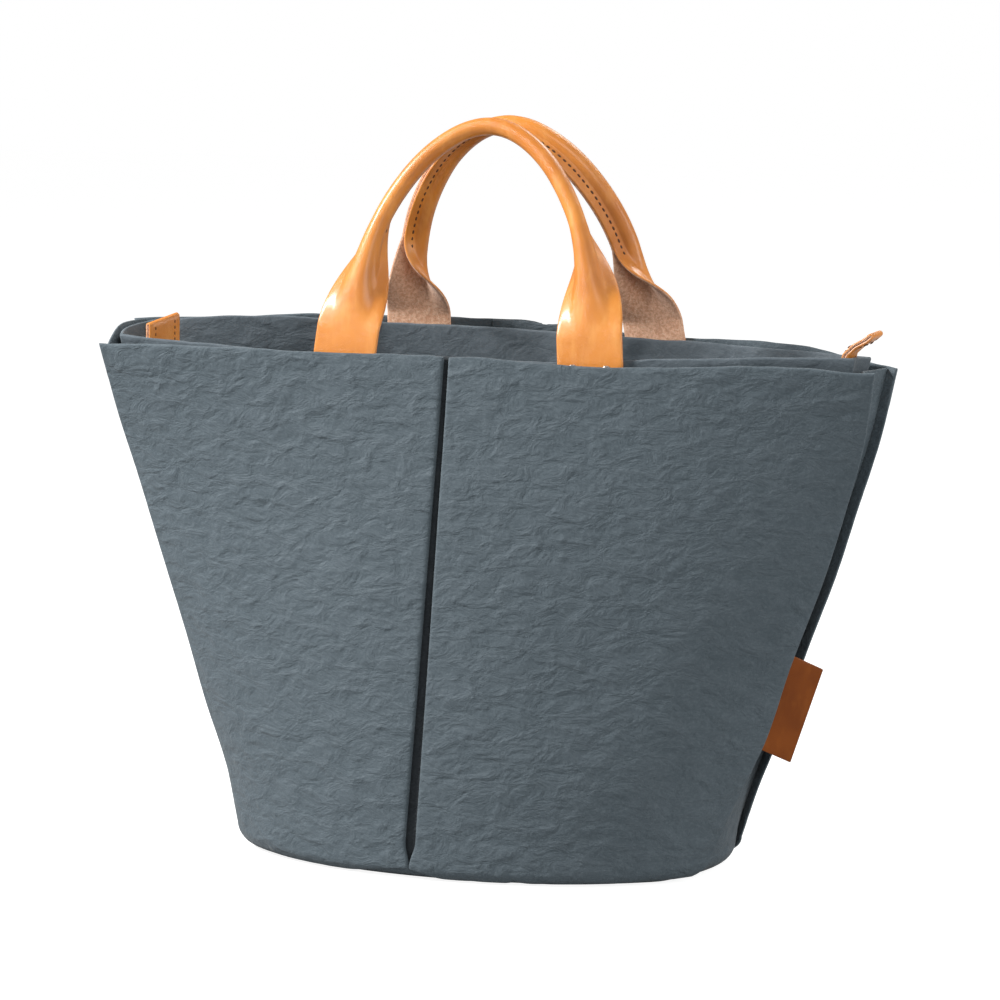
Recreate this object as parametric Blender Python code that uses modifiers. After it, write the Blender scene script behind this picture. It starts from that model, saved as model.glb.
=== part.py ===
"""A soft tote bag: a pleated cloth shell, a second cloth bag inside it, and two folded leather handles.

Metres, +Z up. The bag stands on the flat of its base at z = 0, wide along X, its front towards -Y.
"""

import bisect
import math
from collections import namedtuple

import bmesh
import bpy
from mathutils import Matrix, Vector

# Cloth and leather
CLOTH = 0.0014
HANDLE_LEATHER = 0.0020
TAB_LEATHER = 0.0015
TAG_LEATHER = 0.0010
CLEARANCE = 0.0003
LAYER_GAP = 0.0004
WALL_SLACK = 0.0010

# Outer bag
RIM_HEIGHT = 0.290
RIM_RISE = 0.012
MOUTH_HALF_LENGTH = 0.2295
MOUTH_FRONT = 0.055
MOUTH_BACK = 0.060
BASE_HALF_LENGTH = 0.143
BASE_HALF_WIDTH = 0.085
BASE_SWAY = 0.0075
END_HALF_WIDTH = 0.030
END_LEAN = 0.017
GUSSET_FOLD = 0.016
GUSSET_SEAT = 0.0022
SEAM_RIDGE = 0.004
SEAM_HEIGHT = 0.0075
SEAM_END_LIFT = 0.006

# Pleats of the two large panels
PLEAT_DEPTH = 0.030
PLEAT_SLIT = 0.0045
SOFT_ROLL = 0.0026
CRISP_ROLL = 0.0012
DENT_DEPTH = 0.0030
FRONT_PLEAT_AT_RIM = -0.012
FRONT_PLEAT_AT_BASE = -0.024
BACK_PLEAT_AT_RIM = 0.006
BACK_PLEAT_AT_BASE = 0.000

# Base panel
BASE_SETBACK = 0.0012
BASE_ROUND = 0.012
BASE_END_ROUND = 0.010

# Inner bag
INNER_RISE = 0.012
INNER_END_GAP = 0.0050
INNER_FLOOR_INSET = 0.019
INNER_FLOOR_END_GAP = 0.030

# Handles
STRAP_WIDTH = 0.036
HANDLE_HALF_SPAN = 0.073
HANDLE_RISE = 0.128
HANDLE_TUCK = 0.038
HANDLE_LEAN = 0.036
FRONT_HANDLE_SHIFT = -0.002
BACK_HANDLE_SHIFT = 0.004
FRONT_HANDLE_DRIFT = 0.0
BACK_HANDLE_DRIFT = 0.004
TUBE_RADIUS = 0.0040
TUBE_TURN = 150
FLANGE_RADIUS = 0.0017
FLANGE_TURN = 60
THROAT_START = 0.016
FRONT_THROAT_END = 0.078
BACK_THROAT_END = 0.062

# Rivets
RIVET_SPACING = 0.0195
RIVET_DROP = 0.0032
RIVET_POST = 0.0014
RIVET_CAP = 0.0034
RIVET_CAP_THICKNESS = 0.0010
RIVET_DOME = 0.7
RIVET_BACK_THICKNESS = 0.0008

# Tabs at the ends and the tag in the side seam
TAB_WIDTH = 0.020
TAB_TUCK = 0.024
TAB_REACH = 0.022
TAB_BEND = 0.013
TAB_LIFT = 0.0007
TAG_WIDTH = 0.022
TAG_LENGTH = 0.056
TAG_HEIGHT = 0.099
TAG_STAND_OFF = 0.0006
TAG_DROOP = 12

# Heights run from 0 at the panels' lower seam to 1 at the rim. Length and depth go from 0 at the base's
# size to 1 at the mouth's, end, lean, fold and sway are shares of the sizes named so, and round is 0 for
# a shallow bow between the corners and 1 for half an ellipse.
Section = namedtuple("Section", "height length depth end lean fold round sway")
SECTIONS = [
    Section(0.00, 0.00, 0.00, 1.00, 0.00, -0.50, 0.93, 1.0),
    Section(0.12, 0.13, 0.11, 0.72, 0.35, 0.10, 0.90, 0.6),
    Section(0.25, 0.30, 0.25, 0.50, 0.75, 0.70, 0.85, 0.3),
    Section(0.40, 0.45, 0.41, 0.42, 0.92, 1.00, 0.80, 0.2),
    Section(0.58, 0.65, 0.59, 0.40, 1.00, 1.00, 0.72, 0.0),
    Section(0.72, 0.79, 0.73, 0.42, 1.00, 0.95, 0.62, 0.0),
    Section(0.86, 0.92, 0.88, 0.55, 1.00, 0.78, 0.54, 0.0),
    Section(1.00, 1.00, 1.00, 0.82, 1.00, 0.50, 0.45, 0.0),
]

# How far the rims stand above RIM_HEIGHT, as shares of RIM_RISE (outer) and INNER_RISE (inner), from
# the left corner at -1 to the right corner at 1.
Rim = namedtuple("Rim", "along front back inner_front inner_back")
RIMS = [
    Rim(-1.00, 0.00, 0.80, 0.40, 0.75),
    Rim(-0.70, 0.05, 0.92, 0.12, 0.95),
    Rim(-0.35, 0.08, 1.00, -0.06, 0.65),
    Rim(0.00, 0.12, 0.88, -0.06, 0.55),
    Rim(0.30, -0.08, 0.48, 0.05, 0.38),
    Rim(0.70, 0.08, 0.45, 0.45, 0.30),
    Rim(1.00, 0.00, -0.25, 0.50, 0.20),
]

# Soft dents of the large panels: place along the panel and up it, reach as shares of the mouth's
# half-length and the rim's height, and depth as a share of DENT_DEPTH (negative stands proud).
Dent = namedtuple("Dent", "side along up reach_along reach_up depth")
DENTS = [
    Dent(-1, -0.52, 0.66, 0.30, 0.30, 0.45),
    Dent(-1, 0.50, 0.40, 0.32, 0.30, 0.45),
    Dent(-1, 0.84, 0.42, 0.16, 0.16, 0.60),
    Dent(-1, 0.55, 0.80, 0.35, 0.18, -0.35),
    Dent(1, 0.50, 0.60, 0.34, 0.30, 0.45),
    Dent(1, -0.50, 0.36, 0.30, 0.26, 0.45),
    Dent(1, -0.55, 0.78, 0.30, 0.20, -0.35),
]

# The handle's arch: place along it from the rim at 0 to the crown at 1, height above the rim as a share
# of HANDLE_RISE, and half-span as a share of HANDLE_HALF_SPAN. The last row is past the crown.
Arch = namedtuple("Arch", "place rise span")
ARCH = [
    Arch(0.00, 0.00, 1.00),
    Arch(0.18, 0.22, 0.960),
    Arch(0.36, 0.45, 0.885),
    Arch(0.50, 0.62, 0.780),
    Arch(0.66, 0.785, 0.605),
    Arch(0.79, 0.90, 0.415),
    Arch(0.90, 0.975, 0.205),
    Arch(1.00, 1.00, 0.00),
    Arch(1.10, 0.975, -0.205),
]
THROAT_PLACES = [0.10, 0.17, 0.22, 0.27, 0.32, 0.37, 0.42, 0.48]
ARM_PLACES = [0.55, 0.63, 0.71, 0.79, 0.86, 0.93, 1.0]
HANDLE_PLACES = [-1.0, -0.5, 0.0] + THROAT_PLACES + ARM_PLACES

# The tab at each end of the inner bag: how far it leans out and turns about the upright, in degrees, how
# far its foot and its top stand off the end as shares of TAB_WIDTH, and how far it rises past the rim as
# a share of TAB_REACH.
Tab = namedtuple("Tab", "name end lean turn roll foot top reach")
TABS = [
    Tab("left_tab", -1, 15, 30, 14, 0.08, 0.42, 0.33),
    Tab("right_tab", 1, 50, 0, 0, 0.01, 0.01, 0.90),
]

# The inner bag's lowest levels: how far each has gone from the floor's inset to the wall's, from the
# floor's end gap to the wall's, and up from the floor to the panels' lower seam.
Floor = namedtuple("Floor", "inset end up")
INNER_FLOOR = [
    Floor(0.00, 0.00, 0.00),
    Floor(0.60, 0.40, 0.45),
]

PANEL_HEIGHTS = [0.0, 0.05, 0.12, 0.21, 0.32, 0.44, 0.57, 0.70, 0.82, 0.92, 1.0]
INNER_HEIGHTS = PANEL_HEIGHTS[1:]
PANEL_STEPS = 8
RING_STEPS = 8
RING_END_STEPS = 4
GUSSET_SHARES = [0.0, 0.33, 0.66, 0.9]
STRAP_STEPS = 4
BASE_ROUND_STEPS = 4
RIVET_SIDES = 10
FRONT, BACK = -1, 1


def on_rows(rows, column, at):
    """One column's value at a place in the rows' first column, on a smooth curve through the rows."""
    places = [row[0] for row in rows]
    values = [getattr(row, column) for row in rows]
    last = len(rows) - 1
    start = max(0, min(last - 1, bisect.bisect_right(places, at) - 1))

    def slope(row):
        before, after = max(row - 1, 0), min(row + 1, last)
        return (values[after] - values[before]) / (places[after] - places[before])

    span = places[start + 1] - places[start]
    t = min(1.0, max(0.0, (at - places[start]) / span))
    rise = (values[start + 1] - values[start]) * (3 - 2 * t) * t * t
    lift = span * t * (1 - t) * ((1 - t) * slope(start) - t * slope(start + 1))
    return values[start] + rise + lift


def mix(first, second, share):
    return first + (second - first) * share


def ease(share):
    share = min(1.0, max(0.0, share))
    return share * share * (3 - 2 * share)


def bow(along, fullness):
    """1 in the middle and 0 at both corners: a shallow bow, or an ellipse where fullness nears 1."""
    low = math.sqrt(1 - fullness * fullness)
    return (math.sqrt(1 - (fullness * along) ** 2) - low) / (1 - low)


def half_length(height):
    return mix(BASE_HALF_LENGTH, MOUTH_HALF_LENGTH, on_rows(SECTIONS, "length", height))


def centre_x(height):
    return -BASE_SWAY * on_rows(SECTIONS, "sway", height)


def corner_depth(side, height):
    """The panel's corner: how far it lies from the bag's middle plane, along Y."""
    width = END_HALF_WIDTH * on_rows(SECTIONS, "end", height)
    return side * width - END_LEAN * on_rows(SECTIONS, "lean", height)


def middle_depth(side, height):
    mouth = MOUTH_FRONT if side == FRONT else MOUTH_BACK
    return side * mix(BASE_HALF_WIDTH, mouth, on_rows(SECTIONS, "depth", height))


def rim_height(side, along):
    return RIM_HEIGHT + RIM_RISE * on_rows(RIMS, "front" if side == FRONT else "back", along)


def seam_height(along):
    return SEAM_HEIGHT + SEAM_END_LIFT * along**4


def height_at(side, along, z):
    """The share of the wall's height at z, 1 from the rim up."""
    low = seam_height(along)
    return min(1.0, max(0.0, (z - low) / (rim_height(side, along) - low)))


def dent(side, along, height):
    """How far the soft dents press the panel in at this place."""
    total = 0.0
    for row in DENTS:
        if row.side != side:
            continue
        across = (along - row.along) / row.reach_along
        up = (height - row.up) / row.reach_up
        total += row.depth * DENT_DEPTH * math.exp(-2 * (across * across + up * up))
    return total


def wall_point(side, along, height, inset=0.0):
    """A point inset from the middle of a large panel's cloth, into the bag and level."""
    def bare(place):
        round_share = on_rows(SECTIONS, "round", height)
        corner = corner_depth(side, height)
        depth = mix(corner, middle_depth(side, height), bow(place, round_share))
        return Vector((centre_x(height) + place * half_length(height), depth, 0.0))

    step = 0.002
    low, high = max(-1.0, along - step), min(1.0, along + step)
    tangent = (bare(high) - bare(low)).normalized()
    inward = Vector((side * tangent.y, -side * tangent.x, 0.0))
    point = bare(along) + inward * inset
    point.z = mix(seam_height(along), rim_height(side, along), height)
    return point


def material(name, colour, roughness, metallic=0.0):
    made = bpy.data.materials.new(name)
    made.use_nodes = True
    shader = made.node_tree.nodes["Principled BSDF"]
    shader.inputs["Base Color"].default_value = (*colour, 1.0)
    shader.inputs["Roughness"].default_value = roughness
    shader.inputs["Metallic"].default_value = metallic
    made.diffuse_color = (*colour, 1.0)
    return made


def new_object(name, mesh, finish, collection):
    mesh.shade_smooth()
    mesh.set_sharp_from_angle(angle=math.radians(40))
    made = bpy.data.objects.new(name, mesh)
    made.data.materials.append(finish)
    collection.objects.link(made)
    return made


def sheet(name, rows, thickness, finish, collection, closed=False, floor=None):
    """A wall of even thickness about a surface lofted through rows of points, each row as long as the last.

    closed joins each row's ends. floor adds one flat face over the first row.
    """
    form = bmesh.new()
    grid = [[form.verts.new(point) for point in row] for row in rows]
    count = len(rows[0])
    for lower, upper in zip(grid, grid[1:]):
        for i in range(count if closed else count - 1):
            after = (i + 1) % count
            form.faces.new((lower[i], lower[after], upper[after], upper[i]))
    if floor:
        form.faces.new(list(reversed(grid[0])))
    mesh = bpy.data.meshes.new(name)
    form.to_mesh(mesh)
    form.free()
    made = new_object(name, mesh, finish, collection)
    wall = made.modifiers.new("Thickness", "SOLIDIFY")
    wall.thickness = thickness
    wall.offset = 0.0
    wall.use_even_offset = True
    return made


def pleat_x(side, height):
    if side == FRONT:
        return mix(FRONT_PLEAT_AT_BASE, FRONT_PLEAT_AT_RIM, height)
    return mix(BACK_PLEAT_AT_BASE, BACK_PLEAT_AT_RIM, height)


def pleat_path(roll_left, roll_right):
    """(across, inset) of an inverted box pleat from the slit's left edge to its right edge."""
    layer = CLOTH + LAYER_GAP
    edge = PLEAT_SLIT / 2
    deep = PLEAT_DEPTH
    half = layer / 2
    quarter = math.sqrt(0.5)
    left_roll = [
        (-edge - roll_left, 0.0),
        (-edge - roll_left * (1 - quarter), half * (1 - quarter)),
        (-edge, half),
        (-edge - roll_left * (1 - quarter), half * (1 + quarter)),
        (-edge - roll_left, layer),
    ]
    left_turn = [(-deep, layer), (-deep - half, layer + half), (-deep, 2 * layer)]
    right_turn = [(deep, 2 * layer), (deep + half, layer + half), (deep, layer)]
    right_roll = [
        (edge + roll_right, layer),
        (edge, half),
        (edge + roll_right, 0.0),
    ]
    return left_roll + left_turn + right_turn + right_roll


def panel_row(side, height):
    """One level of a large panel from its left corner to its right one, with the pleat folded into it."""
    middle = pleat_x(side, height)
    length = half_length(height)

    def along_at(across):
        return (middle + across - centre_x(height)) / length

    rolls = (SOFT_ROLL, CRISP_ROLL) if side == FRONT else (CRISP_ROLL, SOFT_ROLL)
    fold = pleat_path(*rolls)
    first, last = along_at(fold[0][0]), along_at(fold[-1][0])
    left = [mix(-1.0, first, ease_out(i / PANEL_STEPS)) for i in range(PANEL_STEPS)]
    right = [mix(1.0, last, ease_out(i / PANEL_STEPS)) for i in reversed(range(PANEL_STEPS))]
    points = [wall_point(side, along, height, dent(side, along, height)) for along in left]
    points += [wall_point(side, along_at(across), height, inset) for across, inset in fold]
    points += [wall_point(side, along, height, dent(side, along, height)) for along in right]
    return points


def ease_out(share):
    """Shorter steps near the corner, where the panel turns most."""
    return mix(share * share, share, 0.45)


def make_panel(name, side, cloth, collection):
    rows = [panel_row(side, height) for height in PANEL_HEIGHTS]
    if side == BACK:
        rows = [list(reversed(row)) for row in rows]
    return sheet(name, rows, CLOTH, cloth, collection)


def gusset_row(end, height):
    """One level of an end gusset, from behind the front panel's edge over its fold to the back panel's."""
    length = half_length(height)
    along = end * (1 - SEAM_RIDGE / length)
    front = wall_point(FRONT, along, height, GUSSET_SEAT)
    back = wall_point(BACK, along, height, GUSSET_SEAT)
    fold = GUSSET_FOLD * on_rows(SECTIONS, "fold", height)
    middle = (front + back) / 2
    middle.x -= end * fold
    row = []
    for start, stop in ((front, middle), (middle, back)):
        for share in GUSSET_SHARES:
            point = start.lerp(stop, share)
            # A fold that stands out instead of in is round, as the base's end is.
            if fold < 0:
                whole = share / 2 if start is front else 0.5 + share / 2
                point.x = front.x + end * -fold * math.sin(math.pi * whole)
            row.append(point)
    row.append(back)
    return row


def make_gusset(name, end, cloth, collection):
    rows = [gusset_row(end, height) for height in PANEL_HEIGHTS]
    if end < 0:
        rows = [list(reversed(row)) for row in rows]
    return sheet(name, rows, CLOTH, cloth, collection)


def ring(height, inset, end_gap, level):
    """A closed level inside the outer bag, inset from its large panels and end_gap inside its gussets.

    level gives the height in metres at a side and a place along it.
    """
    length = half_length(height)
    width = END_HALF_WIDTH * on_rows(SECTIONS, "end", height)
    fold = GUSSET_FOLD * on_rows(SECTIONS, "fold", height)
    cut = SEAM_RIDGE + end_gap + max(0.0, fold) * min(1.0, inset / width)
    reach = 1 - cut / length
    steps = range(-RING_STEPS, RING_STEPS + 1)
    places = [reach * math.sin(math.pi / 2 * step / RING_STEPS) for step in steps]
    sides = {}
    for side in (FRONT, BACK):
        sides[side] = [wall_point(side, along, height, inset) for along in places]
        for point, along in zip(sides[side], places):
            point.z = level(side, along)
    points = []
    for side, end, order in ((FRONT, 1, 1), (BACK, -1, -1)):
        row = sides[side][::order]
        points += row
        start, stop = row[-1], sides[-side][-1 if end > 0 else 0]
        tip = fold_x(end, height) - end * end_gap
        corner_tip = (start.x + stop.x) / 2
        for step in range(1, RING_END_STEPS):
            share = step / RING_END_STEPS
            point = start.lerp(stop, share)
            peak = 1 - abs(2 * share - 1) if fold > 0 else math.sin(math.pi * share)
            point.x = mix(point.x, point.x + tip - corner_tip, peak)
            points.append(point)
    return points


def fold_x(end, height):
    """Where an end gusset's fold lies along X."""
    fold = GUSSET_FOLD * on_rows(SECTIONS, "fold", height)
    return centre_x(height) + end * (half_length(height) - SEAM_RIDGE - fold)


def make_base(cloth, collection):
    """A flat oval whose edge turns up to meet the lower seam of the panels and gussets."""
    low = CLOTH / 2
    rows = []
    for step in range(BASE_ROUND_STEPS + 1):
        turn = math.pi / 2 * step / BASE_ROUND_STEPS
        inset = BASE_SETBACK + BASE_ROUND * (1 - math.sin(turn))
        end_gap = inset + BASE_END_ROUND * (1 - math.sin(turn))

        def level(side, along, turn=turn):
            top = seam_height(along) - 2 * CLEARANCE
            return mix(top, low, math.cos(turn))

        rows.append(ring(0.0, inset, end_gap, level))
    return sheet("base_panel", rows, CLOTH, cloth, collection, closed=True, floor=True)


def inner_inset():
    """From the middle of a large panel's cloth to the middle of the inner bag's, past a handle's strap."""
    return strap_inset() + rivet_back() + 2 * CLEARANCE + CLOTH / 2


def rivet_back():
    """From the middle of a handle's strap to the far face of a rivet's back cap."""
    return HANDLE_LEATHER / 2 + CLEARANCE + RIVET_BACK_THICKNESS


def strap_inset():
    """From the middle of a large panel's cloth to the middle of a handle's strap, past a rivet's cap."""
    return CLOTH / 2 + WALL_SLACK + RIVET_CAP_THICKNESS + CLEARANCE + HANDLE_LEATHER / 2


def inner_rim(side, along):
    column = "inner_front" if side == FRONT else "inner_back"
    return RIM_HEIGHT + INNER_RISE * on_rows(RIMS, column, along)


def make_inner_bag(cloth, collection):
    floor = CLOTH + CLEARANCE + CLOTH / 2
    rows = []
    for row in INNER_FLOOR:
        def low_level(side, along, up=row.up):
            return mix(floor, seam_height(along), up)

        inset = mix(INNER_FLOOR_INSET, inner_inset(), row.inset)
        rows.append(ring(0.0, inset, mix(INNER_FLOOR_END_GAP, INNER_END_GAP, row.end), low_level))
    for height in INNER_HEIGHTS:
        def level(side, along, height=height):
            return mix(seam_height(along), inner_rim(side, along), height)

        rows.append(ring(height, inner_inset(), INNER_END_GAP, level))
    return sheet("inner_bag", rows, CLOTH, cloth, collection, closed=True, floor=True)


def strap_section(curl):
    """(across, inward) of the strap's middle line: flat at curl 0, a tube with a raised seam at curl 1."""
    arc = TUBE_RADIUS * math.radians(TUBE_TURN)
    back = FLANGE_RADIUS * math.radians(FLANGE_TURN)
    half = STRAP_WIDTH / 2

    def angle(place):
        if place < arc:
            return place / TUBE_RADIUS
        if place < arc + back:
            return math.radians(TUBE_TURN) - (place - arc) / FLANGE_RADIUS
        return math.radians(TUBE_TURN - FLANGE_TURN)

    stops = [arc * step / STRAP_STEPS for step in range(1, STRAP_STEPS + 1)] + [arc + back, half]
    points = [(0.0, 0.0)]
    across, inward, place = 0.0, 0.0, 0.0
    for stop in stops:
        parts = 12
        stride = (stop - place) / parts
        for part in range(parts):
            turn = curl * angle(place + (part + 0.5) * stride)
            across += math.cos(turn) * stride
            inward += math.sin(turn) * stride
        place = stop
        points.append((across, inward))
    return [(-a, b) for a, b in reversed(points[1:])] + points


def handle_point(side, place, half):
    """A point of the strap's outer line. half is -1 for the left leg and 1 for the right one."""
    rise = HANDLE_RISE * on_rows(ARCH, "rise", place) if place >= 0 else HANDLE_TUCK * place
    span = HANDLE_HALF_SPAN * (on_rows(ARCH, "span", place) if place >= 0 else 1.0)
    shift = FRONT_HANDLE_SHIFT if side == FRONT else BACK_HANDLE_SHIFT
    drift = FRONT_HANDLE_DRIFT if side == FRONT else BACK_HANDLE_DRIFT
    share = max(0.0, rise / HANDLE_RISE)
    across = shift + half * span - drift * share
    height = height_at(side, across / MOUTH_HALF_LENGTH, RIM_HEIGHT + rise)
    along = (across - centre_x(height)) / half_length(height)
    point = wall_point(side, along, height, strap_inset())
    lean = HANDLE_LEAN * mix(share, share * share, 0.5)
    return Vector((across, point.y - side * lean, RIM_HEIGHT + rise))


def panel_inward(side, across):
    """The level direction into the bag, square to the rim at this place."""
    along = across / MOUTH_HALF_LENGTH
    return (wall_point(side, along, 1.0, 0.01) - wall_point(side, along, 1.0)).normalized()


def handle_frame(side, place, half):
    """The strap's outer point at a place, and the directions along it, into the bag and across it."""
    step = 0.01
    point = handle_point(side, place, half)
    ahead = handle_point(side, place + step, half) - handle_point(side, place - step, half)
    ahead = ahead.normalized() * -half
    curl = throat_share(side, point.z - RIM_HEIGHT)
    straight = Vector((0.0, -side, 0.0))
    inward = panel_inward(side, point.x).lerp(straight, curl)
    inward = (inward - ahead * inward.dot(ahead)).normalized()
    return point, ahead, inward, ahead.cross(inward)


def throat_share(side, above_rim):
    end = FRONT_THROAT_END if side == FRONT else BACK_THROAT_END
    share = min(1.0, max(0.0, (above_rim - THROAT_START) / (end - THROAT_START)))
    return mix(share, ease(share), 0.35)


def make_handle(name, side, leather, collection):
    """One strap whose flat ends go down between the two bags and whose middle is folded round and sewn."""
    stations = [(place, -1) for place in HANDLE_PLACES]
    stations += [(place, 1) for place in reversed(HANDLE_PLACES[:-1])]
    rows = []
    for place, half in stations:
        point, ahead, inward, across = handle_frame(side, place, half)
        section = strap_section(throat_share(side, point.z - RIM_HEIGHT))
        rows.append([point + across * a + inward * b for a, b in section])
    return sheet(name, rows, HANDLE_LEATHER, leather, collection)


def rivet_places(side):
    """(name, point in the strap's middle, inward) of each rivet of a handle."""
    drop = -RIVET_DROP / HANDLE_TUCK
    found = []
    for half, leg in ((-1, "left"), (1, "right")):
        point, ahead, inward, across = handle_frame(side, drop, half)
        for step, hand in ((-1, "outer"), (1, "inner")):
            offset = across * (step * side * RIVET_SPACING / 2)
            found.append((f"{leg}_{hand}", point + offset, inward))
    return found


def make_rivet(name, point, inward, metal, collection):
    """A turned rivet: a domed cap before the strap, a post, and a flat cap between it and the inner bag."""
    front = -HANDLE_LEATHER / 2 - CLEARANCE
    back = HANDLE_LEATHER / 2 + CLEARANCE
    outline = [
        (0.0, rivet_back()),
        (RIVET_CAP, rivet_back()),
        (RIVET_CAP, back),
        (RIVET_POST, back),
        (RIVET_POST, front),
        (RIVET_CAP, front),
        (RIVET_CAP * RIVET_DOME, front - RIVET_CAP_THICKNESS),
        (0.0, front - RIVET_CAP_THICKNESS),
    ]
    form = bmesh.new()
    points = [form.verts.new((radius, 0.0, height)) for radius, height in outline]
    for first, second in zip(points, points[1:]):
        form.edges.new((first, second))
    mesh = bpy.data.meshes.new(name)
    form.to_mesh(mesh)
    form.free()
    made = new_object(name, mesh, metal, collection)
    turned = made.modifiers.new("Turned", "SCREW")
    turned.steps = RIVET_SIDES
    turned.render_steps = RIVET_SIDES
    turned.use_merge_vertices = True
    turned.merge_threshold = 0.00005
    made.location = point
    made.rotation_mode = "QUATERNION"
    made.rotation_quaternion = inward.to_track_quat("Z", "Y")
    return made


def make_hole_cutter(name, point, inward, collection):
    """A short rod through the strap where a rivet's post goes."""
    form = bmesh.new()
    radius = RIVET_POST + CLEARANCE
    bmesh.ops.create_cone(form, cap_ends=True, segments=RIVET_SIDES, radius1=radius, radius2=radius,
                          depth=2 * HANDLE_LEATHER)
    mesh = bpy.data.meshes.new(name)
    form.to_mesh(mesh)
    form.free()
    made = bpy.data.objects.new(name, mesh)
    made.location = point
    made.rotation_mode = "QUATERNION"
    made.rotation_quaternion = inward.to_track_quat("Z", "Y")
    made.hide_render = True
    made.display_type = "WIRE"
    collection.objects.link(made)
    return made


def cut_holes(target, cutters):
    holes = target.modifiers.new("Rivet holes", "BOOLEAN")
    holes.operation = "DIFFERENCE"
    holes.solver = "EXACT"
    holes.operand_type = "COLLECTION"
    holes.collection = cutters


def folded_path(reach, leather):
    """(out, through) of a strip folded back on itself: out to the fold on one side and back on the other."""
    half = (leather + LAYER_GAP) / 2
    quarter = math.sqrt(0.5)
    return [
        (0.0, -half),
        (reach / 2, -half),
        (reach - half, -half),
        (reach - half * (1 - quarter), -half * quarter),
        (reach, 0.0),
        (reach - half * (1 - quarter), half * quarter),
        (reach - half, half),
        (reach / 2, half),
        (0.0, half),
    ]


def make_tab(row, leather, collection):
    """A folded strip that stands inside the end of the inner bag, against its fold, and leans out over it."""
    inside = INNER_END_GAP + CLOTH / 2 + CLEARANCE + TAB_LEATHER + LAYER_GAP / 2
    turn = math.radians(row.turn)
    lean = math.radians(row.lean)
    reach = TAB_REACH * row.reach
    rim = max(inner_rim(FRONT, row.end), inner_rim(BACK, row.end))

    def at_end(height, stand_off, z):
        x = fold_x(row.end, height) - row.end * (inside + TAB_WIDTH * stand_off)
        return Vector((x, end_middle(height), z))

    foot = at_end(1 - TAB_TUCK / rim, row.foot, rim - TAB_TUCK)
    top = at_end(1.0, row.top, rim + TAB_LIFT)
    up = (top - foot).normalized()
    over = Vector((row.end * math.sin(lean), 0.0, math.cos(lean)))
    tuck = (top - foot).length
    width = Vector((-row.end * math.sin(turn), math.cos(turn), math.sin(math.radians(row.roll)))) * (TAB_WIDTH / 2)
    rows = []
    for out, through in folded_path(tuck + reach, TAB_LEATHER):
        below, above = min(out, tuck), max(0.0, out - tuck)
        direction = up.lerp(over, ease(above / TAB_BEND)).normalized()
        sideways = Vector((direction.z, 0.0, -direction.x))
        centre = foot + up * below + direction * above
        rows.append([centre + sideways * through + width * place for place in (-1.0, 0.0, 1.0)])
    return sheet(row.name, rows, TAB_LEATHER, leather, collection)


def end_middle(height):
    return -END_LEAN * on_rows(SECTIONS, "lean", height)


def make_tag(leather, collection):
    """A folded leather tag tucked behind the front panel's right edge, square to the side seam."""
    height = (TAG_HEIGHT - SEAM_HEIGHT) / (RIM_HEIGHT - SEAM_HEIGHT)
    reach = TAG_LENGTH / 2 / RIM_HEIGHT
    low, high = wall_point(FRONT, 1.0, height - reach), wall_point(FRONT, 1.0, height + reach)
    seam = (high - low).normalized()
    edge = (low + high) / 2
    outward = edge - wall_point(FRONT, 1 - SEAM_RIDGE / half_length(height), height)
    outward = (outward - seam * outward.dot(seam)).normalized()
    inward = outward.cross(seam) * FRONT
    outward = Matrix.Rotation(math.radians(TAG_DROOP), 3, inward) @ outward
    tuck = SEAM_RIDGE / 2
    behind = CLOTH / 2 + CLEARANCE + TAG_LEATHER + LAYER_GAP / 2 + TAG_STAND_OFF
    rows = []
    for out, through in folded_path(tuck + TAG_WIDTH, TAG_LEATHER):
        centre = edge + outward * (out - tuck) + inward * (behind + through)
        rows.append([centre + seam * (TAG_LENGTH / 2 * place) for place in (-1.0, 0.0, 1.0)])
    return sheet("side_tag", rows, TAG_LEATHER, leather, collection)


def main():
    for old in list(bpy.data.objects):
        bpy.data.objects.remove(old, do_unlink=True)
    bag = bpy.data.collections.new("Tote bag")
    bpy.context.scene.collection.children.link(bag)

    cloth = material("Slate cloth", (0.10, 0.13, 0.155), 0.85)
    leather = material("Tan leather", (0.80, 0.36, 0.09), 0.38)
    tag_leather = material("Brown leather", (0.42, 0.17, 0.06), 0.5)
    metal = material("Pale metal", (0.78, 0.77, 0.75), 0.3, 1.0)

    make_panel("front_panel", FRONT, cloth, bag)
    make_panel("back_panel", BACK, cloth, bag)
    make_gusset("left_gusset", -1, cloth, bag)
    make_gusset("right_gusset", 1, cloth, bag)
    make_base(cloth, bag)
    make_inner_bag(cloth, bag)
    for name, side in (("front", FRONT), ("back", BACK)):
        cutters = bpy.data.collections.new(f"{name} rivet cutters")
        bpy.context.scene.collection.children.link(cutters)
        for place, point, inward in rivet_places(side):
            make_rivet(f"{name}_{place}_rivet", point, inward, metal, bag)
            make_hole_cutter(f"{name} {place} cutter", point, inward, cutters)
        cut_holes(make_handle(f"{name}_handle", side, leather, bag), cutters)
    for row in TABS:
        make_tab(row, leather, bag)
    make_tag(tag_leather, bag)


main()
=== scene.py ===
"""The tote bag dressed for the picture: cloth, leather handles, tabs and tag, light and camera.

Metres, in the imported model's frame. The wall's shape is worked out from the same sizes and tables as the
solids, with finer steps, rounded edges, hems, seams, stitches and the cloth's relief.
"""

import bisect
import functools
import math
from collections import namedtuple

import bmesh
import bpy
import numpy as np
from mathutils import Matrix, Vector, noise


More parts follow.
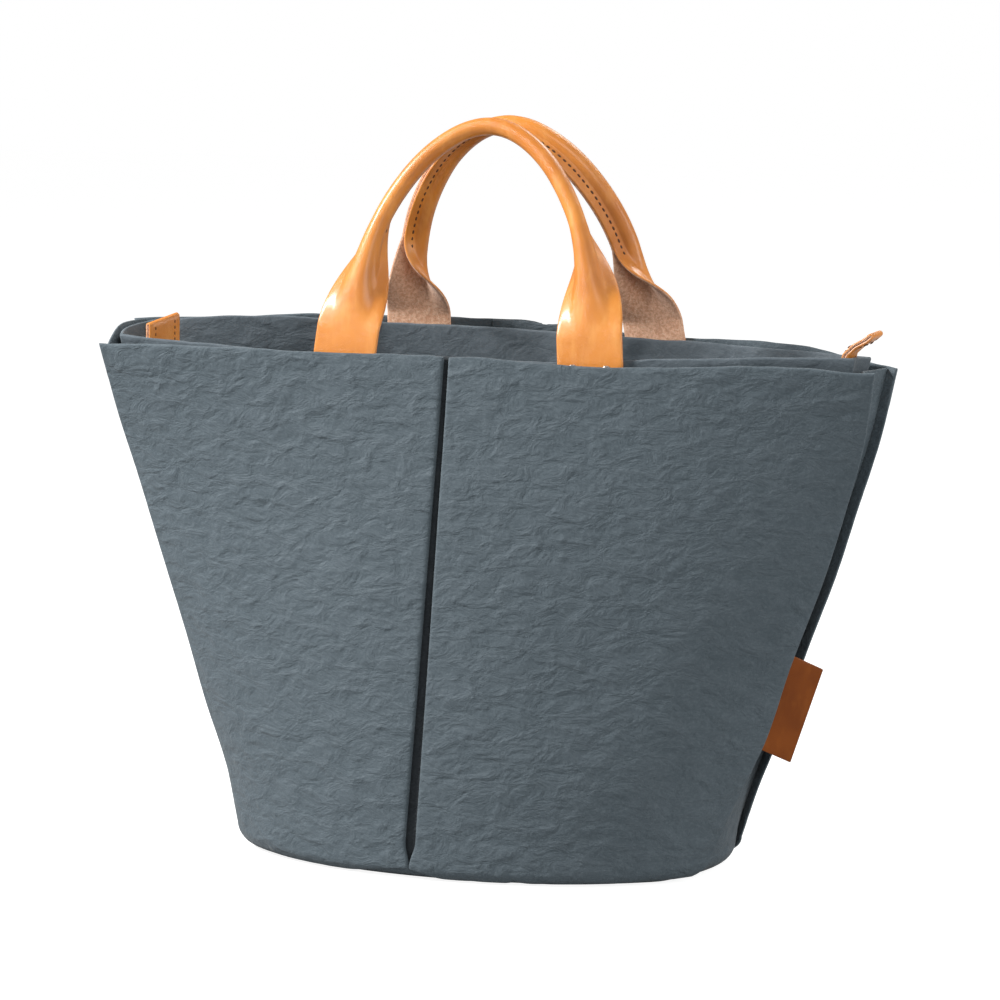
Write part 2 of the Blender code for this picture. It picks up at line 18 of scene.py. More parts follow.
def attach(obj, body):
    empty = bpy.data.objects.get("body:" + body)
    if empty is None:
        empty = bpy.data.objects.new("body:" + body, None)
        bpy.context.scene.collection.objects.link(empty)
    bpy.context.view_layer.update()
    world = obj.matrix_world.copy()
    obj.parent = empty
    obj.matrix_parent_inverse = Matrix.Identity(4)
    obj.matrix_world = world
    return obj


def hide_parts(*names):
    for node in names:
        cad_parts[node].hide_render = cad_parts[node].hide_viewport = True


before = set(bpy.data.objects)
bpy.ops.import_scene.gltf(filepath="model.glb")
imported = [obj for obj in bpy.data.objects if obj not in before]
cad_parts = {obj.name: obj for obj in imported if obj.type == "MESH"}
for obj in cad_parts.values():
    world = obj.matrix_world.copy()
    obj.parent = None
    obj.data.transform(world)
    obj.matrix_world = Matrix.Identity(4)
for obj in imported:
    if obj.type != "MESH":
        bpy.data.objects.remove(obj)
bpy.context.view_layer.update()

# Sizes that the solids have too
CLOTH = 0.0014
HANDLE_LEATHER = 0.0020
TAB_LEATHER = 0.0015
TAG_LEATHER = 0.0010
CLEARANCE = 0.0003
LAYER_GAP = 0.0004
WALL_SLACK = 0.0010
RIM_HEIGHT = 0.290
RIM_RISE = 0.012
MOUTH_HALF_LENGTH = 0.2295
MOUTH_FRONT = 0.055
MOUTH_BACK = 0.060
BASE_HALF_LENGTH = 0.143
BASE_HALF_WIDTH = 0.085
BASE_SWAY = 0.0075
END_HALF_WIDTH = 0.030
END_LEAN = 0.017
GUSSET_FOLD = 0.016
GUSSET_SEAT = 0.0022
SEAM_RIDGE = 0.004
SEAM_HEIGHT = 0.0075
SEAM_END_LIFT = 0.006
PLEAT_DEPTH = 0.030
PLEAT_SLIT = 0.0045
SOFT_ROLL = 0.0026
CRISP_ROLL = 0.0012
DENT_DEPTH = 0.0030
FRONT_PLEAT_AT_RIM = -0.012
FRONT_PLEAT_AT_BASE = -0.024
BACK_PLEAT_AT_RIM = 0.006
BACK_PLEAT_AT_BASE = 0.000
BASE_SETBACK = 0.0012
BASE_ROUND = 0.012
BASE_END_ROUND = 0.010
INNER_RISE = 0.012
INNER_END_GAP = 0.0050
INNER_FLOOR_INSET = 0.019
INNER_FLOOR_END_GAP = 0.030
STRAP_WIDTH = 0.036
HANDLE_HALF_SPAN = 0.073
HANDLE_RISE = 0.128
HANDLE_TUCK = 0.038
HANDLE_LEAN = 0.036
FRONT_HANDLE_SHIFT = -0.002
BACK_HANDLE_SHIFT = 0.004
FRONT_HANDLE_DRIFT = 0.0
BACK_HANDLE_DRIFT = 0.004
TUBE_RADIUS = 0.0040
TUBE_TURN = 150
FLANGE_RADIUS = 0.0017
FLANGE_TURN = 60
THROAT_START = 0.016
FRONT_THROAT_END = 0.078
BACK_THROAT_END = 0.062
RIVET_CAP_THICKNESS = 0.0010
RIVET_BACK_THICKNESS = 0.0008
TAB_WIDTH = 0.020
TAB_TUCK = 0.024
TAB_REACH = 0.022
TAB_BEND = 0.013
TAB_LIFT = 0.0007
TAG_WIDTH = 0.022
TAG_LENGTH = 0.056
TAG_HEIGHT = 0.099
TAG_STAND_OFF = 0.0006
TAG_DROOP = 12
FRONT, BACK = -1, 1

# Heights run from 0 at the panels' lower seam to 1 at the rim; the columns are shares of the named sizes.
Section = namedtuple("Section", "height length depth end lean fold round sway")
SECTIONS = [
    Section(0.00, 0.00, 0.00, 1.00, 0.00, -0.50, 0.93, 1.0),
    Section(0.12, 0.13, 0.11, 0.72, 0.35, 0.10, 0.90, 0.6),
    Section(0.25, 0.30, 0.25, 0.50, 0.75, 0.70, 0.85, 0.3),
    Section(0.40, 0.45, 0.41, 0.42, 0.92, 1.00, 0.80, 0.2),
    Section(0.58, 0.65, 0.59, 0.40, 1.00, 1.00, 0.72, 0.0),
    Section(0.72, 0.79, 0.73, 0.42, 1.00, 0.95, 0.62, 0.0),
    Section(0.86, 0.92, 0.88, 0.55, 1.00, 0.78, 0.54, 0.0),
    Section(1.00, 1.00, 1.00, 0.82, 1.00, 0.50, 0.45, 0.0),
]

# How far the rims stand above RIM_HEIGHT, as shares of RIM_RISE and INNER_RISE, from corner to corner.
Rim = namedtuple("Rim", "along front back inner_front inner_back")
RIMS = [
    Rim(-1.00, 0.00, 0.80, 0.40, 0.75),
    Rim(-0.70, 0.05, 0.92, 0.12, 0.95),
    Rim(-0.35, 0.08, 1.00, -0.06, 0.65),
    Rim(0.00, 0.12, 0.88, -0.06, 0.55),
    Rim(0.30, -0.08, 0.48, 0.05, 0.38),
    Rim(0.70, 0.08, 0.45, 0.45, 0.30),
    Rim(1.00, 0.00, -0.25, 0.50, 0.20),
]

# Soft dents of the walls: place along the wall and up it, reach along and up as shares of the mouth's
# half-length and the rim's height, depth as a share of DENT_DEPTH, and the tilt of the dent in degrees.
Dent = namedtuple("Dent", "side along up reach_along reach_up depth tilt")
PANEL_DENTS = [
    Dent(FRONT, -0.52, 0.66, 0.30, 0.30, 0.45, 0),
    Dent(FRONT, 0.50, 0.40, 0.32, 0.30, 0.45, 0),
    Dent(FRONT, 0.84, 0.42, 0.16, 0.16, 0.60, 0),
    Dent(FRONT, 0.55, 0.80, 0.35, 0.18, -0.35, 0),
    Dent(BACK, 0.50, 0.60, 0.34, 0.30, 0.45, 0),
    Dent(BACK, -0.50, 0.36, 0.30, 0.26, 0.45, 0),
    Dent(BACK, -0.55, 0.78, 0.30, 0.20, -0.35, 0),
]

# The handle's arch: place, height above the rim and half-span as shares of HANDLE_RISE and _HALF_SPAN.
Arch = namedtuple("Arch", "place rise span")
ARCH = [
    Arch(0.00, 0.00, 1.00),
    Arch(0.18, 0.22, 0.960),
    Arch(0.36, 0.45, 0.885),
    Arch(0.50, 0.62, 0.780),
    Arch(0.66, 0.785, 0.605),
    Arch(0.79, 0.90, 0.415),
    Arch(0.90, 0.975, 0.205),
    Arch(1.00, 1.00, 0.00),
    Arch(1.10, 0.975, -0.205),
]

# The tabs: lean, turn and roll in degrees, foot and top off the end as shares of TAB_WIDTH, and reach as a
# share of TAB_REACH. The left one leans more and rises less than its solid, as in the photo.
Tab = namedtuple("Tab", "name end lean turn roll foot top reach")
TABS = [
    Tab("left_tab", -1, 22, 30, 14, 0.08, 0.42, 0.17),
    Tab("right_tab", 1, 50, 0, 0, 0.01, 0.01, 0.90),
]

# Hems and relief of the cloth, with the cell sizes of the noise that shapes it
HEM_DEPTH = 0.022
HEM_SWELL = 0.0009
HEM_STEP = 0.003
BROAD_RELIEF = 0.0006
CRINKLE_RELIEF = 0.00042
GUSSET_RELIEF = (0.0016, 0.0005)
INNER_RELIEF = (0.0011, 0.00025)
SWELL_CELL = (0.075, 0.075, 0.055)
SHIFT_CELL = (0.02, 0.02, 0.02)
RIDGE_CELL = (0.015, 0.015, 0.0085)
SMALL_CELL = (0.0085, 0.0085, 0.0052)
PATCH_CELL = (0.05, 0.05, 0.04)
RIDGE_SHIFT = 0.006
PATCH_LEAST = 0.45
RIDGE_SHARE = 0.9
SMALL_SHARE = 0.8

# How far from a pleat, a seam or an end the cloth calms down, and the relief that is left there
CALM_AT_PLEAT = 0.012
CALM_AT_SEAM = 0.006
CALM_AT_END = 0.01
CALM_RELIEF = 0.25

# The waves of the rims
RIM_WAVE = 0.0011
RIM_WAVE_FROM = 0.93
SLOW_WAVE = 0.045
QUICK_WAVE = 0.014
QUICK_SHARE = 0.45
GUSSET_WAVE = 1.6

# Seeds of the relief and the waves
PANEL_SEED = 3.0
PANEL_RIM_SEED = 5.0
GUSSET_SEED = 11.0
GUSSET_RIM_SEED = 9.0
INNER_SEED = 21.0
INNER_RIM_SEED = 31.0

# The pleat's slit, as shares of PLEAT_SLIT, and the height over which its foot closes
SLIT_AT_RIM = 0.9
SLIT_AT_BASE = 1.7
SLIT_CLOSING = 0.014
SLIT_CLOSED = 0.8

# How the left end of the bag relaxes near the rim: from how far below, to which fold, and how far it rises
TOP_RELAX = 0.14
END_SWELL = -0.25
END_LIFT = 0.004
END_LIFT_FROM = 0.94

# How softly the folded ends turn at their deepest line, as shares of half their width
GUSSET_SOFT = 0.10
INNER_END_SOFT = 0.12

# The way that each handle's sewn seam stands off its strap, and how softly its throat closes
FRONT_SEAM = (0.10, -1.0, 0.25)
BACK_SEAM = (0.72, 0.70, 0.30)
THROAT_EASE = 0.35

# Stitches of the handles, from the curl at which the seam closes, and of the tabs
STITCH_FROM_CURL = 0.93
STITCH_PITCH = 0.0040
STITCH_LENGTH = 0.0026
STITCH_RADIUS = 0.00060
STITCH_INSET = 0.0038
STITCH_SINK = 0.0002
STITCH_FLATNESS = 0.7
TAB_STITCH_PITCH = 0.0034
TAB_STITCH_INSET = 0.0032
TAB_STITCH_FROM = 0.0035
TAB_STITCH_TO = 0.022

# The lower edge of the panels, where they turn in round the base, and the places along x between which
# it lifts beside the front pleat
UNDER_ROWS = 8
UNDER_GAP = 0.0010
UNDER_TURN = 46
LIFTED_TURN = 86
BASE_SLACK = 0.0006
CRESCENT_LEFT = -0.072
CRESCENT_PEAK = -0.026
CRESCENT_RIGHT = -0.001

# Steps of the meshes
PANEL_ROWS = 120
PANEL_COLUMNS = 105
COLUMN_SPREAD = 0.7
GUSSET_COLUMNS = 40
RING_COLUMNS = 84
END_COLUMNS = 16
BASE_STEPS = 12
TURN_STEPS = 8
FOLD_STEPS = 6
ARCH_STEPS = 60
SEAM_STEPS = 600
TAB_HALF_COLUMNS = 5
TAG_HALF_COLUMNS = 12
BASE_RINGS = (0.02, 0.2, 0.4, 0.6, 0.8, 0.93)
FLOOR_RINGS = (0.02, 0.25, 0.5, 0.75)
EDGE_TURNS = [30, 58, 82]

# The picture
FLOOR_HALF = 6
AMBIENT = 0.24
FLOOR_GLOW = 0.90
CAMERA_AZIMUTH = 20
CAMERA_ELEVATION = 8
CAMERA_DISTANCE = 2.5
CAMERA_AIM = (0.0, 0.0, 0.205)
CAMERA_LENS = 157.95
SENSOR_WIDTH = 36.0
Lamp = namedtuple("Lamp", "name place aim size power")
LAMPS = [
    Lamp("key", (-1.36, -0.66, 1.36), (0.0, 0.0, 0.25), 0.45, 58.0),
    Lamp("fill", (1.3, -1.9, 1.1), (0.0, 0.0, 0.2), 1.2, 19.0),
    Lamp("side", (1.6, 0.12, 0.6), (0.0, 0.0, 0.2), 0.8, 9.0),
    Lamp("back", (0.6, 1.6, 1.9), (0.0, 0.0, 0.3), 1.0, 26.0),
]


def on_rows(rows, column, at):
    """One column's value at a place in the rows' first column, on a smooth curve through the rows."""
    places = [row[0] for row in rows]
    values = [getattr(row, column) for row in rows]
    last = len(rows) - 1
    start = max(0, min(last - 1, bisect.bisect_right(places, at) - 1))

    def slope(row):
        before, after = max(row - 1, 0), min(row + 1, last)
        return (values[after] - values[before]) / (places[after] - places[before])

    span = places[start + 1] - places[start]
    t = min(1.0, max(0.0, (at - places[start]) / span))
    rise = (values[start + 1] - values[start]) * (3 - 2 * t) * t * t
    lift = span * t * (1 - t) * ((1 - t) * slope(start) - t * slope(start + 1))
    return values[start] + rise + lift


@functools.lru_cache(maxsize=None)
def section(column, height):
    return on_rows(SECTIONS, column, height)


@functools.lru_cache(maxsize=None)
def rim_share(column, along):
    return on_rows(RIMS, column, along)


def mix(first, second, share):
    return first + (second - first) * share


def ease(share):
    share = min(1.0, max(0.0, share))
    return share * share * (3 - 2 * share)


def bow(along, fullness):
    low = math.sqrt(1 - fullness * fullness)
    return (math.sqrt(max(0.0, 1 - (fullness * along) ** 2)) - low) / (1 - low)


def half_length(height):
    return mix(BASE_HALF_LENGTH, MOUTH_HALF_LENGTH, section("length", height))


def centre_x(height):
    return -BASE_SWAY * section("sway", height)


def corner_depth(side, height):
    return side * END_HALF_WIDTH * section("end", height) - END_LEAN * section("lean", height)


def middle_depth(side, height):
    mouth = MOUTH_FRONT if side == FRONT else MOUTH_BACK
    return side * mix(BASE_HALF_WIDTH, mouth, section("depth", height))


def rim_height(side, along):
    return RIM_HEIGHT + RIM_RISE * rim_share("front" if side == FRONT else "back", along)


def inner_rim(side, along):
    return RIM_HEIGHT + INNER_RISE * rim_share("inner_front" if side == FRONT else "inner_back", along)


def seam_height(along):
    return SEAM_HEIGHT + SEAM_END_LIFT * along**4


def height_at(side, along, z):
    low = seam_height(along)
    return min(1.0, max(0.0, (z - low) / (rim_height(side, along) - low)))


def wall_point(side, along, height, inset=0.0):
    """A point inset from the middle of a large panel's cloth, into the bag and level."""
    round_share = section("round", height)
    corner, depth = corner_depth(side, height), middle_depth(side, height)
    centre, length = centre_x(height), half_length(height)

    def bare(place):
        return Vector((centre + place * length, mix(corner, depth, bow(place, round_share)), 0.0))

    step = 0.002
    tangent = (bare(min(1.0, along + step)) - bare(max(-1.0, along - step))).normalized()
    point = bare(along) + Vector((side * tangent.y, -side * tangent.x, 0.0)) * inset
    point.z = mix(seam_height(along), rim_height(side, along), height)
    return point


def dents(rows, side, along, height):
    """How far the soft dents press the wall in at this place."""
    total = 0.0
    for row in rows:
        if row.side != side:
            continue
        right = (along - row.along) * MOUTH_HALF_LENGTH
        up = (height - row.up) * RIM_HEIGHT
        turn = math.radians(row.tilt)
        across = (right * math.cos(turn) + up * math.sin(turn)) / (row.reach_along * MOUTH_HALF_LENGTH)
        rise = (up * math.cos(turn) - right * math.sin(turn)) / (row.reach_up * RIM_HEIGHT)
        total += row.depth * DENT_DEPTH * math.exp(-2 * (across * across + rise * rise))
    return total


def noise_at(point, cell, shift):
    """Smooth noise at a point, in cells of this size, moved by a number of cells."""
    return noise.noise(Vector([place / size + move for place, size, move in zip(point, cell, shift)]))


def relief(point, seed, broad=BROAD_RELIEF, crinkle=CRINKLE_RELIEF):
    """The washed cloth's relief at a point: slow swells, and short ridges that lie mostly level."""
    x, y, z = point
    swell = noise_at(point, SWELL_CELL, (seed, 0.0, 0.0))
    shift = RIDGE_SHIFT * noise_at(point, SHIFT_CELL, (0.0, 0.0, seed))
    ridge = 1 - 2 * abs(noise_at((x, y, z + shift), RIDGE_CELL, (0.0, seed, 0.0)))
    small = noise_at((x, y, z - shift), SMALL_CELL, (seed, 0.0, 0.0))
    patch = mix(PATCH_LEAST, 1.0, ease(0.5 + noise_at(point, PATCH_CELL, (0.0, -seed, 0.0))))
    return broad * swell + crinkle * patch * (RIDGE_SHARE * ridge + SMALL_SHARE * small)


def rim_wave(point, height, seed):
    """How far the cloth's upper edge stands up or down at this place."""
    share = ease((height - RIM_WAVE_FROM) / (1 - RIM_WAVE_FROM))
    slow = noise.noise(Vector((point.x / SLOW_WAVE + seed, point.y / SLOW_WAVE, 0.5)))
    quick = noise.noise(Vector((point.x / QUICK_WAVE, point.y / QUICK_WAVE + seed, 1.5)))
    return RIM_WAVE * share * (slow + QUICK_SHARE * quick)


def normals_of(grid, wrap):
    """Outward unit normals of a grid of points, with rows from the bottom up and columns left to right."""
    if wrap:
        padded = np.concatenate([grid[:, -1:], grid, grid[:, :1]], axis=1)
        right = np.gradient(padded, axis=1)[:, 1:-1]
    else:
        right = np.gradient(grid, axis=1)
    normal = np.cross(right, np.gradient(grid, axis=0))
    return normal / np.maximum(np.linalg.norm(normal, axis=2, keepdims=True), 1e-12)


def unit(vectors):
    return vectors / np.maximum(np.linalg.norm(vectors, axis=-1, keepdims=True), 1e-12)


def slab(name, grid, out, inn, finishes, wrap=False, round_bottom=True, painted_shade=None):
    """A wall about a grid of points, out and inn thick on its two sides, its edges rounded.

    finishes are the materials of the outer side, the inner side and the edges, and of the outer side's
    columns with painted shade if it has any.
    """
    grid = np.array(grid, float)
    shape = grid.shape[:2]
    out = np.broadcast_to(np.asarray(out, float), shape)
    inn = np.broadcast_to(np.asarray(inn, float), shape)
    normal = normals_of(grid, wrap)
    middle = grid + normal * ((out - inn) / 2)[..., None]
    half = (out + inn) / 2
    full = np.ones(shape)

    def grow(axis, last):
        """Adds rows or columns past an edge that close the wall in a half round."""
        nonlocal middle, half, full, normal
        edge, before = (-1, -2) if last else (0, 1)
        at = functools.partial(np.take, axis=axis)
        away = unit(at(middle, edge) - at(middle, before))
        thick = at(half, edge)
        rings = [(at(middle, edge) + away * (thick * math.sin(math.radians(t)))[..., None],
                  at(full, edge) * math.cos(math.radians(t))) for t in EDGE_TURNS]
        if not last:
            rings.reverse()
        count = len(rings)
        spots = np.stack([ring[0] for ring in rings], axis=axis)
        shares = np.stack([ring[1] for ring in rings], axis=axis)
        halves = np.stack([thick] * count, axis=axis)
        sides = np.stack([at(normal, edge)] * count, axis=axis)

        def join(kept, added):
            return np.concatenate([kept, added] if last else [added, kept], axis=axis)

        middle, full = join(middle, spots), join(full, shares)
        half, normal = join(half, halves), join(normal, sides)

    grow(0, True)
    if round_bottom:
        grow(0, False)
    if not wrap:
        grow(1, True)
        grow(1, False)
    offset = normal * (half * full)[..., None]
    outer, inner = middle + offset, middle - offset
    rows, columns = outer.shape[:2]
    points = np.concatenate([outer.reshape(-1, 3), inner.reshape(-1, 3)])
    index = np.arange(rows * columns).reshape(rows, columns)
    across = columns if wrap else columns - 1
    low = index[:-1, :across]
    after = np.roll(index, -1, axis=1)[:, :across]
    quads = np.stack([low, after[:-1], after[1:], index[1:, :across]], axis=-1).reshape(-1, 4)
    total = rows * columns
    faces = [quads, quads[:, ::-1] + total]
    strips = [(index[-1, :across], after[-1]), (after[0], index[0, :across])]
    if not wrap:
        strips += [(index[1:, 0], index[:-1, 0]), (index[:-1, -1], index[1:, -1])]
    for first, second in strips:
        faces.append(np.stack([first, first + total, second + total, second], axis=-1)[:, ::-1])
    part_slots = [0, 1] + [2] * (len(faces) - 2)
    slots = np.concatenate([np.full(len(part), slot) for part, slot in zip(faces, part_slots)])
    # The outer side's columns listed for painted shade get the fourth finish, which paints the shade.
    if painted_shade:
        column = np.arange(len(quads)) % across - len(EDGE_TURNS)
        inside = (column >= painted_shade[0]) & (column < painted_shade[1])
        slots[:len(quads)][inside] = 3
    mesh = bpy.data.meshes.new(name)
    mesh.from_pydata(points.tolist(), [], np.concatenate(faces).tolist())
    for finish in finishes:
        mesh.materials.append(finish)
    mesh.polygons.foreach_set("material_index", np.minimum(slots, len(finishes) - 1).astype(np.int32))
    mesh.update()
    fix = bmesh.new()
    fix.from_mesh(mesh)
    bmesh.ops.recalc_face_normals(fix, faces=fix.faces)
    fix.to_mesh(mesh)
    fix.free()
    mesh.shade_smooth()
    made = bpy.data.objects.new(name, mesh)
    bpy.context.scene.collection.objects.link(made)
    return made


def dress(piece, slot, *nodes):
    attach(piece, "root")
    if nodes:
        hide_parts(*nodes)


# Materials

class Nodes:
    """Short calls that add and link shader nodes."""

    def __init__(self, name):
        self.material = bpy.data.materials.new(name)
        self.material.use_nodes = True
        self.tree = self.material.node_tree
        self.shader = self.tree.nodes["Principled BSDF"]
        self.place = self.add("ShaderNodeTexCoord").outputs["Object"]

    def add(self, kind, **values):
        node = self.tree.nodes.new(kind)
        for key, value in values.items():
            setattr(node, key, value)
        return node

    def link(self, source, target):
        if isinstance(source, (int, float)):
            target.default_value = source
        elif isinstance(source, tuple):
            target.default_value = (*source, 1.0) if len(target.default_value) == 4 else source
        else:
            self.tree.links.new(source, target)

    def scaled(self, x, y, z):
        node = self.add("ShaderNodeMapping")
        self.link(self.place, node.inputs["Vector"])
        node.inputs["Scale"].default_value = (x, y, z)
        return node.outputs["Vector"]

    def noise(self, place, scale, detail=3.0, roughness=0.5, distortion=0.0, kind="FBM"):
        node = self.add("ShaderNodeTexNoise", noise_type=kind)
        self.link(place, node.inputs["Vector"])
        self.link(scale, node.inputs["Scale"])
        self.link(detail, node.inputs["Detail"])
        self.link(roughness, node.inputs["Roughness"])
        self.link(distortion, node.inputs["Distortion"])
        return node.outputs["Fac"]

    def ramp(self, source, low, high, to_low=0.0, to_high=1.0):
        node = self.add("ShaderNodeMapRange", interpolation_type="SMOOTHSTEP")
        sockets = ("Value", "From Min", "From Max", "To Min", "To Max")
        for value, socket in zip((source, low, high, to_low, to_high), sockets):
            self.link(value, node.inputs[socket])
        return node.outputs["Result"]

    def maths(self, kind, first, second):
        node = self.add("ShaderNodeMath", operation=kind)
        self.link(first, node.inputs[0])
        self.link(second, node.inputs[1])
        return node.outputs["Value"]

    def blend(self, share, first, second, kind="MIX"):
        node = self.add("ShaderNodeMix", data_type="RGBA", blend_type=kind)
        self.link(share, node.inputs["Factor"])
        self.link(first, node.inputs[6])
        self.link(second, node.inputs[7])
        return node.outputs[2]

    def bump(self, height, distance, strength=1.0, before=None):
        node = self.add("ShaderNodeBump")
        self.link(height, node.inputs["Height"])
        node.inputs["Distance"].default_value = distance
        node.inputs["Strength"].default_value = strength
        if before is not None:
            self.link(before, node.inputs["Normal"])
        return node.outputs["Normal"]

    def finish(self, colour, roughness, normal, **fixed):
        self.link(colour, self.shader.inputs["Base Color"])
        self.link(roughness, self.shader.inputs["Roughness"])
        self.link(normal, self.shader.inputs["Normal"])
        for name, value in fixed.items():
            self.link(value, self.shader.inputs[name.replace("_", " ")])
        return self.material


def make_cloth(name, dark, middle, pale, depth=1.0):
    n = Nodes(name)
    level = n.scaled(1.0, 1.0, 1.7)
    lumps = n.noise(level, 62.0, 5.0, 0.58, 0.55)
    crinkle = n.noise(level, 95.0, 4.0, 0.6, 0.5, "RIDGED_MULTIFRACTAL")
    threads = n.noise(n.place, 1400.0, 1.0, 0.5)
    speck = n.noise(n.scaled(1.0, 1.0, 1.5), 520.0, 2.0, 0.6)
    colour = n.blend(n.ramp(lumps, 0.38, 0.62), dark, middle)
    # Painted highlight: the crinkles' ridges are painted toward the pale colour, as ridges that catch the
    # light, on top of their bump.
    colour = n.blend(n.ramp(crinkle, 0.9, 1.6, 0.0, 0.5), colour, pale)
    colour = n.blend(n.ramp(speck, 0.4, 0.75, 0.0, 0.25), colour, pale)
    normal = n.bump(lumps, 0.0034 * depth, 0.8)
    normal = n.bump(crinkle, 0.0009 * depth, 0.8, normal)
    normal = n.bump(threads, 0.00022, 0.5, normal)
    roughness = n.ramp(lumps, 0.3, 0.7, 0.78, 0.70)
    return n.finish(colour, roughness, normal,
                    Sheen_Weight=0.10, Sheen_Roughness=0.5, Specular_IOR_Level=0.35)


def make_grain(name, deep, middle, pale, roughness=0.34, coat=0.25, specular=0.5):
    n = Nodes(name)
    cloud = n.noise(n.place, 26.0, 3.0, 0.55, 0.3)
    streak = n.noise(n.scaled(1.0, 1.0, 0.22), 160.0, 3.0, 0.6)
    pores = n.add("ShaderNodeTexVoronoi", feature="DISTANCE_TO_EDGE")
    n.link(n.place, pores.inputs["Vector"])
    pores.inputs["Scale"].default_value = 1500.0
    pore = n.ramp(pores.outputs["Distance"], 0.0, 0.16)
    colour = n.blend(n.ramp(cloud, 0.3, 0.7), deep, middle)
    colour = n.blend(n.ramp(streak, 0.45, 0.8, 0.0, 0.45), colour, pale)
    normal = n.bump(cloud, 0.0007, 0.35)
    normal = n.bump(pore, 0.00010, 0.45, normal)
    rough = n.ramp(streak, 0.3, 0.7, roughness - 0.05, roughness + 0.09)
    return n.finish(colour, rough, normal,
                    Specular_IOR_Level=specular, Coat_Weight=coat, Coat_Roughness=0.2)


def make_flesh(name):
    n = Nodes(name)
    fibre = n.noise(n.scaled(1.0, 1.0, 1.0), 900.0, 3.0, 0.7)
    clump = n.noise(n.place, 560.0, 3.0, 0.7)
    colour = n.blend(n.ramp(clump, 0.36, 0.66), (0.66, 0.33, 0.19), (0.90, 0.55, 0.36))
    colour = n.blend(n.ramp(fibre, 0.5, 0.72, 0.0, 0.7), colour, (0.98, 0.74, 0.55))
    normal = n.bump(clump, 0.0006, 0.6)
    normal = n.bump(fibre, 0.0003, 0.6, normal)
    return n.finish(colour, 0.88, normal, Sheen_Weight=0.25, Sheen_Roughness=0.6)


def make_edge(name, dark, light):
    n = Nodes(name)
    fibre = n.noise(n.place, 900.0, 3.0, 0.6)
    colour = n.blend(n.ramp(fibre, 0.35, 0.7), dark, light)
    return n.finish(colour, 0.55, n.bump(fibre, 0.00015, 0.5))


def make_thread(name, dark, light):
    n = Nodes(name)
    twist = n.noise(n.place, 2200.0, 2.0, 0.6)
    return n.finish(n.blend(n.ramp(twist, 0.35, 0.7), dark, light), 0.7, n.bump(twist, 0.0001, 0.6))


def make_metal(name):
    n = Nodes(name)
    brushed = n.noise(n.scaled(1.0, 6.0, 1.0), 900.0, 2.0, 0.5)
    colour = n.blend(n.ramp(brushed, 0.35, 0.7), (0.74, 0.73, 0.70), (0.88, 0.87, 0.85))
    roughness = n.ramp(brushed, 0.3, 0.7, 0.22, 0.34)
    return n.finish(colour, roughness, n.bump(brushed, 0.00004, 0.4), Metallic=1.0)


# Each cloth and leather: its name, three colours from dark to pale, and what differs from the usual
OUTER_CLOTH = make_cloth(
    "Slate cloth", (0.066, 0.088, 0.103), (0.073, 0.096, 0.112), (0.145, 0.180, 0.200))
INNER_CLOTH = make_cloth(
    "Inner slate cloth", (0.074, 0.094, 0.110), (0.090, 0.112, 0.130), (0.15, 0.185, 0.205), depth=0.5)
# Painted highlight: a lighter copy of the slate cloth for the rounded edges, so that the hems and folded
# edges look lit.
EDGE_CLOTH_PAINTED_HIGHLIGHT = make_cloth(
    "Cloth at the edges with painted highlight", (0.105, 0.135, 0.153), (0.125, 0.158, 0.177), (0.19, 0.23, 0.25), depth=0.5)
# Painted shade: a near-black copy of the slate cloth for the faces deep inside a pleat, where its shadow
# falls.
PLEAT_PAINTED_SHADE_CLOTH = make_cloth(
    "Cloth with painted shade deep in a pleat", (0.016, 0.021, 0.026), (0.021, 0.027, 0.032), (0.03, 0.037, 0.043))
GRAIN = make_grain("Tan grain", (0.60, 0.195, 0.028), (0.76, 0.275, 0.042), (0.86, 0.41, 0.105))
FLESH = make_flesh("Flesh side")
GRAIN_EDGE = make_edge("Cut edge", (0.42, 0.13, 0.03), (0.62, 0.25, 0.07))
TAG_GRAIN = make_grain(
    "Brown grain", (0.17, 0.040, 0.004), (0.23, 0.058, 0.006), (0.30, 0.09, 0.014),
    roughness=0.5, coat=0.03, specular=0.2)
TAG_EDGE = make_edge("Tag edge", (0.30, 0.10, 0.025), (0.46, 0.18, 0.05))
THREAD = make_thread("Thread", (0.05, 0.018, 0.007), (0.13, 0.05, 0.018))
METAL = make_metal("Rivet metal")


# Outer bag

def pleat_x(side, height):
    if side == FRONT:
        return mix(FRONT_PLEAT_AT_BASE, FRONT_PLEAT_AT_RIM, height)
    return mix(BACK_PLEAT_AT_BASE, BACK_PLEAT_AT_RIM, height)


def pleat_path(roll_left, roll_right, height):
    """(across, inset) of the pleat from the slit's left edge to its right edge, in fine steps."""
    layer = CLOTH + LAYER_GAP
    closing = ease(1 - height * RIM_HEIGHT / SLIT_CLOSING)
    slit = PLEAT_SLIT * mix(SLIT_AT_BASE, SLIT_AT_RIM, height) * (1 - SLIT_CLOSED * closing)
    edge, deep, half = slit / 2, PLEAT_DEPTH, layer / 2
    turns = [math.pi * step / TURN_STEPS for step in range(TURN_STEPS + 1)]
    bends = [math.pi * step / FOLD_STEPS for step in range(FOLD_STEPS + 1)]
    quarters = (0.25, 0.5, 0.75)
    path = [(-edge - roll_left * (1 - math.sin(turn)), half * (1 - math.cos(turn))) for turn in turns]
    path += [(mix(-edge - roll_left, -deep, share), layer) for share in quarters]
    path += [(-deep - half * math.sin(bend), layer + half * (1 - math.cos(bend))) for bend in bends]
    path += [(mix(-deep, deep, step / 10), 2 * layer) for step in range(1, 10)]
    path += [(deep + half * math.sin(bend), layer + half * (1 + math.cos(bend))) for bend in bends]
    path += [(mix(deep, edge + roll_right, share), layer) for share in quarters]
    path += [(edge + roll_right * (1 - math.sin(turn)), half * (1 + math.cos(turn))) for turn in turns]
    return path


